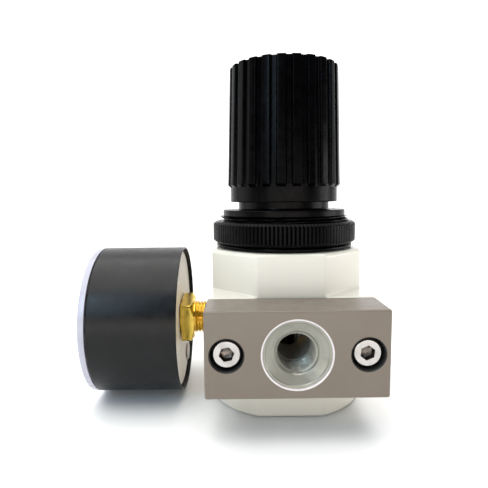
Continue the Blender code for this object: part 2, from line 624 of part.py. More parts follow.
def make_movement_plates(gauge):
    """Front and rear plates, the pillars between them, and the dial on the front bosses."""
    outline = rectangle(-7.0, 7.0, -13.0, 4.0)
    rear = prism("movement_rear_plate", "brass", outline, REAR_PLATE, REAR_PLATE + PLATE_THICK,
                 parent=gauge)
    front_top = FRONT_PLATE + PLATE_THICK
    front = prism("movement_front_plate", "brass", outline, FRONT_PLATE, front_top, parent=gauge)
    arbor_hole = 0.85
    for plate, low in ((rear, REAR_PLATE), (front, FRONT_PLATE)):
        for y in (0.0, SECTOR_Y):
            hole = turned(plate.name + "_hole", None,
                          rod_profile(arbor_hole, low - 1.0, low + PLATE_THICK + 1.0), TINY,
                          parent=gauge, hidden=True)
            hole.location = (0, y * MM, 0)
            cut(plate, hole)
    for x in (-2.6, 2.6):
        hole = turned("movement_screw_way", None,
                      rod_profile(0.95, REAR_PLATE - 1.0, REAR_PLATE + PLATE_THICK + 1.0), TINY,
                      parent=gauge, hidden=True)
        hole.location = (x * MM, -5.0 * MM, 0)
        cut(rear, hole)
    dial_top = DIAL_REAR + 0.4
    dial = turned("gauge_dial", "dial_white",
                  ring_profile(1.2, DIAL_RADIUS, DIAL_REAR, dial_top), FINE, parent=gauge)
    boss_top = DIAL_REAR - GAP
    for hand, x in (("left", -PILLAR_X), ("right", PILLAR_X)):
        pillar = turned("movement_pillar_" + hand, "brass",
                        rod_profile(1.1, REAR_PLATE + PLATE_THICK + GAP, FRONT_PLATE - GAP), TINY,
                        parent=gauge)
        boss = turned("dial_boss", None, rod_profile(1.7, front_top - 0.6, boss_top), TINY,
                      parent=gauge, hidden=True)
        tapped = turned("boss_hole", None, rod_profile(0.9, front_top, boss_top + 1.0), TINY,
                        parent=gauge, hidden=True)
        way = turned("dial_hole", None, rod_profile(0.9, DIAL_REAR - 1.0, dial_top + 1.0), TINY,
                     parent=gauge, hidden=True)
        screw = turned("dial_screw_" + hand, "nickel", [
            (0.0, 46.2), (0.6, 46.2), (0.6, dial_top + GAP), (1.4, dial_top + GAP),
            (1.4, dial_top + 0.8), (0.0, dial_top + 0.8)], TINY, parent=gauge)
        for piece in (pillar, boss, tapped, way, screw):
            piece.location = (x * MM, PILLAR_Y * MM, 0)
        join(front, boss)
        cut(front, tapped)
        cut(dial, way)


def toothed_arc(pitch_radius, tooth_step, first, last, addendum, dedendum):
    """Thin trapezoid teeth on an arc; angles in degrees, tooth centres first to last."""
    points = []
    count = round((last - first) / tooth_step)
    for i in range(count + 1):
        centre = first + i * tooth_step
        for share, radius in ((-0.26, pitch_radius - dedendum), (-0.12, pitch_radius + addendum),
                              (0.12, pitch_radius + addendum), (0.26, pitch_radius - dedendum)):
            angle = math.radians(centre + share * tooth_step)
            points.append((radius * math.cos(angle), radius * math.sin(angle)))
    return points


def make_gear_train(gauge):
    """Pinion on the pointer's arbor, and the sector that drives it."""
    addendum, dedendum = 0.22, 0.35
    pinion_low, pinion_high = 41.0, 42.6
    arbor_low, arbor_top, arbor = REAR_PLATE + 0.1, 50.6, 0.5
    pinion = prism("pointer_pinion", "brass",
                   toothed_arc(PINION_PITCH, 36.0, -90.0, 234.0, addendum, dedendum),
                   pinion_low, pinion_high, parent=gauge)
    join(pinion, turned("pinion_arbor", None, rod_profile(arbor, arbor_low, arbor_top), TINY,
                        parent=gauge, hidden=True))
    pivot = empty("sector_pivot", (0, 0, 0))
    pivot.parent = gauge
    pivot.location = (0, SECTOR_Y * MM, 0)
    pivot.rotation_euler = (0, 0, math.radians(SECTOR_REST_TURN))
    span = 28.5
    outline = toothed_arc(SECTOR_PITCH, TOOTH_ANGLE, 90 - span, 90 + span + 3.0, addendum,
                          dedendum)
    hub, tail_half = 1.5, 1.3
    tail_end = TAIL_LENGTH + 1.4
    outline += [(-hub, 0.6), (-hub, -hub), (tail_end, -tail_half), (tail_end, tail_half),
                (2.4, tail_half)]
    sector = prism("sector_gear", "brass", outline, 41.2, 42.4, parent=pivot)
    join(sector, turned("sector_arbor", None, rod_profile(arbor, arbor_low, 45.4), TINY,
                        parent=pivot, hidden=True))
    tail_hole = turned("tail_hole", None, rod_profile(0.75, 40.0, 43.0), TINY, parent=pivot,
                       hidden=True)
    tail_hole.location = (TAIL_LENGTH * MM, 0, 0)
    cut(sector, tail_hole)


def make_link(gauge):
    """Flat link from the sector's tail up beside the tube's tip."""
    turn = math.radians(SECTOR_REST_TURN)
    start = Vector((TAIL_LENGTH * math.cos(turn), SECTOR_Y + TAIL_LENGTH * math.sin(turn)))
    end = Vector((TUBE_RADIUS, -1.5))
    along = (end - start).normalized()
    angle = math.degrees(math.atan2(along.y, along.x))
    eye = 1.1
    length = (end - start).length
    outline = [(x, y) for x, y in arc(eye, 110, 250, 6)]
    outline += [(x + length, y) for x, y in arc(eye, -70, 70, 6)]
    frame = empty("link_pivot", (0, 0, 0))
    frame.parent = gauge
    frame.location = (start.x * MM, start.y * MM, 0)
    frame.rotation_euler = (0, 0, math.radians(angle))
    link = prism("tube_link", "brass", outline, 40.3, 40.9, parent=frame)
    join(link, turned("link_pin", None, rod_profile(0.4, 40.5, 42.9), TINY, parent=frame,
                      hidden=True))


def make_hairspring(gauge):
    """Flat spiral that takes up the play of the gear teeth."""
    inner, outer, turns, steps, half = 1.1, 4.0, 3, 40, 0.15
    spiral = [(inner + (outer - inner) * i / steps, math.tau * turns * i / steps)
              for i in range(steps + 1)]
    outline = [((r + half) * math.cos(a), (r + half) * math.sin(a)) for r, a in spiral]
    outline += [((r - half) * math.cos(a), (r - half) * math.sin(a))
                for r, a in reversed(spiral)]
    bm = bmesh.new()
    rows = [[bm.verts.new((x, y, z)) for x, y in outline] for z in (43.1, 43.5)]
    count = len(outline)
    for i in range(count):
        j = (i + 1) % count
        bm.faces.new((rows[0][i], rows[0][j], rows[1][j], rows[1][i]))
    for row in rows:
        for i in range(steps):
            bm.faces.new((row[i], row[i + 1], row[count - 2 - i], row[count - 1 - i]))
    finish("hairspring", bm, "steel", parent=gauge)


def make_pointer(gauge):
    """Tapered hand with a hub, resting on the dial's zero."""
    tip, tail, hub, low, high = 14.0, -4.5, 1.7, 49.9, 50.5
    frame = empty("pointer_axis", (0, 0, 0), (0, 0, math.radians(POINTER_ZERO)))
    frame.parent = gauge
    pointer = prism("pointer", "gauge_black", [
        (tail, -0.9), (tip, -0.15), (tip, 0.15), (tail, 0.9)], low, high, parent=frame)
    join(pointer, turned("pointer_hub", None, rod_profile(hub, low, 51.3), SMALL, parent=frame,
                         hidden=True))
    cut(pointer, turned("pointer_bore", None, rod_profile(0.8, low - 1.0, 50.9), TINY,
                        parent=frame, hidden=True))


def make_gauge():
    """All gauge pieces: local +Z runs out through the dial, local +Y is up."""
    facing = Matrix(((0, 0, -1), (-1, 0, 0), (0, 1, 0))).to_euler()
    gauge = empty("gauge_axis", (0, 0, PORT_Z), facing)
    make_gauge_shell(gauge)
    make_gauge_socket(gauge)
    make_bourdon_tube(gauge)
    make_movement_plates(gauge)
    make_gear_train(gauge)
    make_link(gauge)
    make_hairspring(gauge)
    make_pointer(gauge)


def main():
    for old in list(bpy.data.objects):
        bpy.data.objects.remove(old)
    make_body()
    make_port_plate("inlet_plate", -1)
    make_port_plate("outlet_plate", 1)
    make_blanking_plug()
    make_valve_cap()
    make_valve()
    make_diaphragm_stack()
    make_bonnet()
    make_spindle()
    make_knob()
    make_gauge()


main()
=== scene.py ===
"""Looks of a panel-mounted air pressure regulator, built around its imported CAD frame.

Shapes are drawn in millimetres about their own Z axis, then placed and written in metres.
The knob's axis is Z, the gauge faces -X, and the port plates face -Y and +Y.
"""

import json
import math

import bmesh
import bpy
import numpy as np
from mathutils import Matrix, Vector


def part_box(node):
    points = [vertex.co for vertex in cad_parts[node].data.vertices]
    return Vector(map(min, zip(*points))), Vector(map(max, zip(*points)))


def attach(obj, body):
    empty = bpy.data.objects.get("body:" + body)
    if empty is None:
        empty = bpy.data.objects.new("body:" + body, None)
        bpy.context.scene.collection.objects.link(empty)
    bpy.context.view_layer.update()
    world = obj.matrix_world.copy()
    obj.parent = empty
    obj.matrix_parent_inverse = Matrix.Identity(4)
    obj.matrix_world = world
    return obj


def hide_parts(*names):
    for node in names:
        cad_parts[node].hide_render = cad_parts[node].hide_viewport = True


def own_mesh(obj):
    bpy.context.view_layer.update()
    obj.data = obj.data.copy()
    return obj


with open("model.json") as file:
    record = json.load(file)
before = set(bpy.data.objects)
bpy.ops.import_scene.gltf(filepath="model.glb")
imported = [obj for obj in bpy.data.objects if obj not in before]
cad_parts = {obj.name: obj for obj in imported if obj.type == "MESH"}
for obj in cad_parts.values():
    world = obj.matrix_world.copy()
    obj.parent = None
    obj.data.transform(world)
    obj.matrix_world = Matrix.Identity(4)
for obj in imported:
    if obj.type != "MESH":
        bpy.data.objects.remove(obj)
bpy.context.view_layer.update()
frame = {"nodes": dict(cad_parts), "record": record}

MM = 0.001
TAU = math.tau


def span(node):
    """Lowest and highest corner of a CAD node, in millimetres."""
    low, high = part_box(node)
    return low / MM, high / MM


BODY_HIGH = span("body")[1]
PLATE_LOW, PLATE_HIGH = span("inlet_plate")
CASE_LOW, CASE_HIGH = span("gauge_case")
NUT_LOW, NUT_HIGH = span("panel_nut")
WASHER_LOW, WASHER_HIGH = span("slip_washer")
KNOB_LOW, KNOB_HIGH = span("knob")
BONNET_LOW, BONNET_HIGH = span("bonnet")
PORT_Z = (PLATE_LOW.z + PLATE_HIGH.z) / 2
PLATE_DEPTH = PLATE_HIGH.y - PLATE_LOW.y
SCREW_X = (span("inlet_screw_right")[0].x + span("inlet_screw_right")[1].x) / 2
BODY_HALF = 20.0
PIPE_PITCH = 0.907
SQUARE_TURN = math.radians(-8.5)

# Local frames: Z runs into a port plate from its face, out through the dial, and out of the plug's face
INLET = Matrix.Translation((0, PLATE_LOW.y, PORT_Z)) @ Matrix.Rotation(-math.pi / 2, 4, "X")
OUTLET = Matrix.Rotation(math.pi, 4, "Z") @ INLET
GAUGE = Matrix(((0, 0, -1, 0), (-1, 0, 0, 0), (0, 1, 0, PORT_Z), (0, 0, 0, 1)))
PLUG = Matrix.Translation((0, 0, PORT_Z)) @ Matrix.Rotation(math.pi / 2, 4, "Y")


# ---------------------------------------------------------------- outlines and skins

def rounded(corners, closed=False, steps=4):
    """Outline through (x, y, fillet[, sides]) corners, with an arc in place of each filleted one."""
    points = []
    count = len(corners)
    for i, corner in enumerate(corners):
        here, fillet, sides = Vector(corner[:2]), corner[2], corner[3:]
        if not fillet or (not closed and i in (0, count - 1)):
            points.append((here.x, here.y, *sides))
            continue
        back = Vector(corners[i - 1][:2]) - here
        ahead = Vector(corners[(i + 1) % count][:2]) - here
        reach = min(fillet / math.tan(back.angle(ahead) / 2), 0.49 * back.length, 0.49 * ahead.length)
        start, end = here + reach * back.normalized(), here + reach * ahead.normalized()
        for k in range(steps + 1):
            t = k / steps
            spot = start * (1 - t) ** 2 + here * 2 * t * (1 - t) + end * t ** 2
            points.append((spot.x, spot.y, *sides))
    return points


def skin(rows, ring=False):
    """Solid through closed rows of equal length; a ring of rows also closes on itself."""
    rows = np.asarray(rows, float)
    count, width = rows.shape[:2]
    index = np.arange(count * width).reshape(count, width)
    low = index if ring else index[:-1]
    high = np.roll(index, -1, 0) if ring else index[1:]
    faces = np.stack([low, np.roll(low, -1, 1), np.roll(high, -1, 1), high], -1)
    faces = faces.reshape(-1, 4).tolist()
    if not ring:
        faces += [index[0, ::-1].tolist(), index[-1].tolist()]
    mesh = bpy.data.meshes.new("skin")
    mesh.from_pydata(rows.reshape(-1, 3).tolist(), [], faces)
    bm = bmesh.new()
    bm.from_mesh(mesh)
    bpy.data.meshes.remove(mesh)
    bmesh.ops.remove_doubles(bm, verts=bm.verts, dist=1e-4)
    bmesh.ops.recalc_face_normals(bm, faces=bm.faces)
    return bm


def lathe(profile, angles=96, shape=None):
    """Turn (radius, height[, sides]) points about Z; with sides, radius is the distance to a flat."""
    if isinstance(angles, int):
        angles = np.arange(angles) * TAU / angles
    rows = []
    for radius, height, *sides in profile:
        reach = np.full(len(angles), float(radius))
        if sides:
            sector = TAU / sides[0]
            reach /= np.cos((angles + sector / 2) % sector - sector / 2)
        elif shape:
            reach = shape(angles, reach, height)
        rows.append(np.stack([reach * np.cos(angles), reach * np.sin(angles),
                              np.full(len(angles), float(height))], -1))
    return skin(rows, ring=profile[0][0] > 0)


def prism(outline, levels):
    """Skin outline(inset) through (height, inset) levels."""
    return skin([[(x, y, height) for x, y in outline(inset)] for height, inset in levels])


def eased(low, high, low_edge, high_edge, steps=4):
    """(height, inset) levels of a straight side with rounded ends."""
    turns = [k / steps * math.pi / 2 for k in range(steps + 1)]
    rise = [(low + low_edge * (1 - math.cos(a)), low_edge * (1 - math.sin(a))) for a in turns]
    fall = [(high - high_edge * (1 - math.cos(a)), high_edge * (1 - math.sin(a))) for a in turns]
    return rise + fall[::-1]


def rows_between(radius, low, high, step):
    """Evenly spaced profile points on a straight side, for threads and knurls."""
    count = max(1, round((high - low) / step))
    return [(radius, low + (high - low) * i / count) for i in range(count + 1)]


def polygon_outline(sides, flats, fillet):
    """Regular polygon of a given width across flats, with rounded corners, that shrinks by an inset."""
    def outline(inset):
        corner = (flats / 2 - inset) / math.cos(math.pi / sides)
        turns = [(i + 0.5) * TAU / sides for i in range(sides)]
        return rounded([(corner * math.cos(a), corner * math.sin(a), fillet) for a in turns], True)
    return outline


def box_outline(half_x, half_y, fillet):
    """Rounded rectangle that shrinks by an inset."""
    def outline(inset):
        x, y = half_x - inset, half_y - inset
        return rounded([(x, -y, fillet), (x, y, fillet), (-x, y, fillet), (-x, -y, fillet)], True)
    return outline


def thread(crest, depth, pitch, low, high, fades=(0.7, 0.7)):
    """Right-hand thread cut inwards into the rows at radius crest, running out over fades pitches."""
    def shape(angles, reach, height):
        if abs(reach[0] - crest) > 1e-6 or not low <= height <= high:
            return reach
        wave = np.abs(2 * ((height / pitch - angles / TAU) % 1) - 1)
        groove = 1 - np.clip((wave - 0.14) / 0.72, 0, 1)
        run_out = min(1.0, (height - low) / (fades[0] * pitch), (high - height) / (fades[1] * pitch))
        return reach - depth * groove * run_out
    return shape


def tube(points, wire, facets=16):
    """Round wire along the points."""
    points = np.asarray(points, float)
    along = np.gradient(points, axis=0)
    along /= np.linalg.norm(along, axis=1)[:, None]
    side = np.cross(along, (0, 0, 1))
    side /= np.linalg.norm(side, axis=1)[:, None]
    up = np.cross(side, along)
    turns = np.arange(facets) * TAU / facets
    rows = [p + wire * (np.cos(turns)[:, None] * s + np.sin(turns)[:, None] * u)
            for p, s, u in zip(points, side, up)]
    return skin(rows)


def coil(radius, low, high, turns, wire):
    """Compression spring whose end turns close up on themselves."""
    angles = np.linspace(0, TAU * turns, int(turns * 40) + 1)
    share = angles / angles[-1]
    closed = 1.0 / turns
    climb = np.clip((share - closed) / (1 - 2 * closed), 0, 1)
    lift = 2.1 * wire * (np.clip(share / closed, 0, 1) + np.clip((share - 1) / closed + 1, 0, 1))
    heights = low + lift + climb * (high - low - 4.2 * wire)
    return tube(np.stack([radius * np.cos(angles), radius * np.sin(angles), heights], -1), wire)


# ---------------------------------------------------------------- solids and pieces

def placed(bm, place):
    bm.transform(place)
    return bm


def solid_object(bm, materials):
    mesh = bpy.data.meshes.new("solid")
    bm.to_mesh(mesh)
    bm.free()
    for material in materials:
        mesh.materials.append(material)
    made = bpy.data.objects.new("solid", mesh)
    bpy.context.scene.collection.objects.link(made)
    return made


def carved(bm, tools, materials=()):
    """Exact Boolean of bm with (operation, tool, material index) tools; None keeps the tool's own indices."""
    materials = list(materials) or [finishes["brass"]]
    base = solid_object(bm, materials)
    used = []
    for operation, tool, index in tools:
        for face in tool.faces:
            face.material_index = face.material_index if index is None else index
        cutter = solid_object(tool, materials)
        step = base.modifiers.new("step", "BOOLEAN")
        step.operation, step.object, step.solver = operation, cutter, "EXACT"
        step.material_mode = "INDEX"
        used.append(cutter)
    bpy.context.view_layer.update()
    result = bmesh.new()
    result.from_mesh(base.evaluated_get(bpy.context.evaluated_depsgraph_get()).data)
    for made in [base] + used:
        mesh = made.data
        bpy.data.objects.remove(made)
        bpy.data.meshes.remove(mesh)
    return result


def piece(name, bm, body, materials, replaces=(), place=Matrix(), sharp=35):
    """Place a solid, shade it, give it its materials, parent it to its body's empty and hide the CAD nodes it
    replaces.
    """
    bm.transform(Matrix.Scale(MM, 4) @ place)
    if place.determinant() < 0:
        bmesh.ops.reverse_faces(bm, faces=bm.faces)
    mesh = bpy.data.meshes.new(name)
    bm.to_mesh(mesh)
    bm.free()
    mesh.shade_smooth()
    mesh.set_sharp_from_angle(angle=math.radians(sharp))
    for material in materials:
        mesh.materials.append(finishes[material])
    made = bpy.data.objects.new(name, mesh)
    bpy.context.scene.collection.objects.link(made)
    evened = made.modifiers.new("evened", "WEIGHTED_NORMAL")
    evened.keep_sharp = True
    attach(made, body)
    if replaces:
        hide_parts(*replaces)
    return made


# ---------------------------------------------------------------- materials

finishes = {}


class Finish:
    """Principled material whose colour, roughness and relief vary in object space."""

    def __init__(self, name, colour, roughness, metallic=0.0, **constants):
        self.material = bpy.data.materials.new(name)
        self.material.use_nodes = True
        self.tree = self.material.node_tree
        self.surface = self.tree.nodes["Principled BSDF"]
        self.place = self.add("ShaderNodeTexCoord").outputs["Object"]
        self.height = None
        self.set("Base Color", (*colour, 1.0))
        self.set("Roughness", roughness)
        self.set("Metallic", metallic)
        for socket, value in constants.items():
            self.set(socket.replace("_", " "), value)
        finishes[name] = self.material

    def add(self, kind, **values):
        node = self.tree.nodes.new(kind)
        for name, value in values.items():
            setattr(node, name, value)
        return node

    def link(self, source, target):
        self.tree.links.new(source, target)

    def set(self, socket, value):
        self.surface.inputs[socket].default_value = value

    def noise(self, size, detail=2.0, stretch=(1.0, 1.0, 1.0), distortion=0.0):
        """Noise with features of size millimetres, longer along an axis whose stretch is small."""
        mapping = self.add("ShaderNodeMapping")
        mapping.inputs["Scale"].default_value = stretch
        noise = self.add("ShaderNodeTexNoise")
        noise.inputs["Scale"].default_value = 1.0 / (size * MM)
        noise.inputs["Detail"].default_value = detail
        noise.inputs["Distortion"].default_value = distortion
        self.link(self.place, mapping.inputs["Vector"])
        self.link(mapping.outputs["Vector"], noise.inputs["Vector"])
        return noise.outputs["Fac"]

    def ranged(self, source, low, high, first, last):
        node = self.add("ShaderNodeMapRange")
        for socket, value in (("From Min", low), ("From Max", high), ("To Min", first), ("To Max", last)):
            node.inputs[socket].default_value = value
        self.link(source, node.inputs["Value"])
        return node.outputs["Result"]

    def tint(self, factor, colour, amount=1.0):
        """Mix colour into the base colour by factor."""
        node = self.add("ShaderNodeMix", data_type="RGBA")
        base = self.surface.inputs["Base Color"]
        if base.is_linked:
            self.link(base.links[0].from_socket, node.inputs["A"])
        else:
            node.inputs["A"].default_value = base.default_value
        node.inputs["B"].default_value = (*colour, 1.0)
        self.link(self.ranged(factor, 0.0, 1.0, 0.0, amount), node.inputs["Factor"])
        self.link(node.outputs["Result"], base)
        return self

    def gloss(self, factor, low, high):
        """Roughness from low to high over the middle of the noise."""
        self.link(self.ranged(factor, 0.3, 0.7, low, high), self.surface.inputs["Roughness"])
        return self

    def relief(self, factor, depth, strength=1.0):
        """Bump of depth millimetres on top of the relief already there."""
        node = self.add("ShaderNodeBump")
        node.inputs["Strength"].default_value = strength
        node.inputs["Distance"].default_value = depth * MM
        self.link(factor, node.inputs["Height"])
        if self.height:
            self.link(self.height, node.inputs["Normal"])
        self.height = node.outputs["Normal"]
        self.link(self.height, self.surface.inputs["Normal"])
        return self

    def spots(self, factor, low, high):
        """Mask that is 1 where the noise passes high and 0 below low."""
        return self.ranged(factor, low, high, 0.0, 1.0)


def turned_metal(name, colour, dark, roughness, axis):
    """Machined metal with fine turning marks round one axis, faint stains and smudges."""
    marks_along = tuple(1.0 if i == axis else 0.03 for i in range(3))
    look = Finish(name, colour, roughness, 1.0)
    marks = look.noise(0.16, 3.0, marks_along)
    smudge = look.noise(2.6, 3.0)
    look.tint(look.spots(smudge, 0.42, 0.75), dark, 0.45)
    look.tint(look.spots(marks, 0.5, 0.8), dark, 0.25)
    look.gloss(smudge, roughness * 0.75, roughness * 1.35)
    look.relief(marks, 0.012, 0.5)
    return look


def make_finishes():
    paint = Finish("body_paint", (0.67, 0.65, 0.575), 0.24, Coat_Weight=0.35, Coat_Roughness=0.08)
    paint.tint(paint.spots(paint.noise(14.0, 3.0), 0.3, 0.8), (0.65, 0.625, 0.55), 0.5)
    paint.tint(paint.spots(paint.noise(0.5, 2.0), 0.66, 0.74), (0.55, 0.525, 0.46), 0.18)
    paint.gloss(paint.noise(5.0, 2.0), 0.22, 0.27)
    paint.relief(paint.noise(1.3, 2.0), 0.008, 0.3)
    paint.relief(paint.noise(0.28, 2.0), 0.006, 0.3)

    plate = Finish("plate_paint", (0.160, 0.130, 0.101), 0.34, 0.1, Specular_IOR_Level=0.5)
    plate.tint(plate.spots(plate.noise(9.0, 3.0), 0.4, 0.75), (0.178, 0.147, 0.116), 0.5)
    plate.tint(plate.spots(plate.noise(0.16, 2.0), 0.6, 0.74), (0.25, 0.215, 0.18), 0.3)
    plate.gloss(plate.noise(3.0, 3.0), 0.29, 0.40)
    plate.relief(plate.noise(0.22, 3.0), 0.008, 0.5)

    plastic = Finish("black_plastic", (0.0006, 0.0006, 0.0008), 0.26, Specular_IOR_Level=0.055)
    plastic.tint(plastic.spots(plastic.noise(6.0, 3.0), 0.45, 0.8), (0.003, 0.003, 0.004), 0.4)
    plastic.tint(plastic.spots(plastic.noise(0.22, 2.0), 0.70, 0.76), (0.03, 0.03, 0.033), 0.15)
    plastic.gloss(plastic.noise(2.2, 3.0), 0.20, 0.31)
    plastic.relief(plastic.noise(0.14, 2.0), 0.01, 0.45)

    black = Finish("gauge_black", (0.0012, 0.0013, 0.0018), 0.32, Specular_IOR_Level=0.25)
    black.tint(black.spots(black.noise(8.0, 3.0), 0.42, 0.78), (0.007, 0.007, 0.0085), 0.7)
    black.tint(black.spots(black.noise(0.18, 2.0), 0.66, 0.74), (0.03, 0.03, 0.034), 0.3)
    black.gloss(black.noise(3.0, 3.0), 0.27, 0.38)
    black.relief(black.noise(0.16, 2.0), 0.009, 0.5)

    cream = Finish("cream_paint", (0.88, 0.83, 0.765), 0.45)
    cream.tint(cream.spots(cream.noise(5.0, 3.0), 0.4, 0.75), (0.76, 0.70, 0.62), 0.4)
    cream.tint(cream.spots(cream.noise(0.3, 2.0), 0.64, 0.72), (0.60, 0.545, 0.48), 0.25)
    cream.gloss(cream.noise(2.0, 2.0), 0.38, 0.55)
    cream.relief(cream.noise(0.25, 2.0), 0.008, 0.5)

    clear = Finish("window_clear", (0.96, 0.96, 0.985), 0.04, Transmission_Weight=1.0, IOR=1.5)
    clear.gloss(clear.noise(4.0, 3.0), 0.02, 0.07)
    clear.relief(clear.noise(9.0, 1.0), 0.02, 0.2)
    rim = Finish("window_rim", (0.43, 0.425, 0.50), 0.2, Coat_Weight=0.2, Coat_Roughness=0.15)
    rim.tint(rim.spots(rim.noise(6.0, 1.0), 0.4, 0.7), (0.38, 0.375, 0.46), 0.5)
    rim.gloss(rim.noise(1.8, 2.0), 0.26, 0.33)
    rim.relief(rim.noise(0.6, 2.0), 0.003, 0.2)

    turned_metal("brass", (0.86, 0.60, 0.11), (0.40, 0.24, 0.04), 0.2, 0)
    turned_metal("cap_brass", (0.80, 0.58, 0.20), (0.45, 0.28, 0.07), 0.26, 2)
    turned_metal("nickel", (0.50, 0.475, 0.455), (0.25, 0.23, 0.215), 0.2, 1)
    # Darker copy of the nickel for the inside of the hex sockets: painted shade in the recess.
    turned_metal("socket_painted_shade", (0.20, 0.175, 0.155), (0.07, 0.06, 0.055), 0.3, 1)
    turned_metal("plug_nickel", (0.78, 0.76, 0.735), (0.42, 0.40, 0.38), 0.2, 0)
    turned_metal("steel", (0.56, 0.57, 0.59), (0.30, 0.30, 0.31), 0.3, 2)

    # Rim chamfer round the port: bare machined metal, painted much lighter than the port metal as a highlight
    # with a pinkish tint.
    turned_metal("port_rim_highlight", (0.64, 0.605, 0.61), (0.47, 0.44, 0.445), 0.35, 1).set("Metallic", 0.4)
    bare = turned_metal("port_metal", (0.29, 0.285, 0.245), (0.21, 0.21, 0.18), 0.40, 1)
    bare.set("Metallic", 0.6)
    cast = Finish("cast_metal", (0.34, 0.335, 0.305), 0.6, 0.2)
    cast.tint(cast.spots(cast.noise(1.5, 4.0), 0.45, 0.75), (0.24, 0.235, 0.215), 0.7)
    cast.gloss(cast.noise(0.8, 3.0), 0.42, 0.62)
    cast.relief(cast.noise(0.5, 4.0), 0.05, 0.5)

    # Near-black for the counterbore walls: painted shade round the screw heads sunk in their recesses.
    shade = Finish("recess_painted_shade", (0.006, 0.006, 0.006), 0.6)
    shade.tint(shade.spots(shade.noise(0.6, 3.0), 0.5, 0.8), (0.018, 0.017, 0.016), 0.8)
    shade.relief(shade.noise(0.3, 3.0), 0.02, 0.5)

    rubber = Finish("rubber", (0.022, 0.022, 0.022), 0.62)
    rubber.tint(rubber.spots(rubber.noise(0.7, 3.0), 0.5, 0.8), (0.045, 0.045, 0.045), 0.7)
    rubber.gloss(rubber.noise(1.0, 2.0), 0.55, 0.75)
    rubber.relief(rubber.noise(0.2, 3.0), 0.015, 0.5)
    stopper = Finish("stopper", (0.56, 0.52, 0.48), 0.5)
    stopper.tint(stopper.spots(stopper.noise(0.9, 3.0), 0.45, 0.75), (0.42, 0.385, 0.35), 0.7)
    stopper.relief(stopper.noise(0.25, 2.0), 0.015, 0.5)

    dial = Finish("dial_white", (0.86, 0.86, 0.85), 0.42)
    dial.tint(dial.spots(dial.noise(6.0, 3.0), 0.42, 0.78), (0.80, 0.80, 0.785), 0.6)
    dial.relief(dial.noise(0.3, 2.0), 0.006, 0.4)
    ink = Finish("dial_ink", (0.012, 0.012, 0.013), 0.5)
    ink.tint(ink.spots(ink.noise(0.12, 2.0), 0.55, 0.75), (0.035, 0.035, 0.038), 0.7)
    hand = Finish("pointer_black", (0.010, 0.010, 0.011), 0.3)
    hand.gloss(hand.noise(0.8, 2.0), 0.24, 0.42)
    hand.relief(hand.noise(0.2, 2.0), 0.006, 0.4)

    floor = Finish("floor", (0.90, 0.90, 0.895), 0.7)
    floor.tint(floor.noise(60.0, 2.0), (0.90, 0.90, 0.895), 0.5)


# ---------------------------------------------------------------- body, plates, screws

def foot_outline(inset):
    """Four flats joined by arcs through the octagon's corners."""
    flat, corner = BODY_HALF - inset, BODY_HALF / math.cos(math.pi / 8) - inset
    first = math.acos(flat / corner)
    turns = [first + (math.pi / 2 - 2 * first) * k / 16 for k in range(17)]
    return [(corner * math.cos(a + quarter * math.pi / 2), corner * math.sin(a + quarter * math.pi / 2))
            for quarter in range(4) for a in turns]


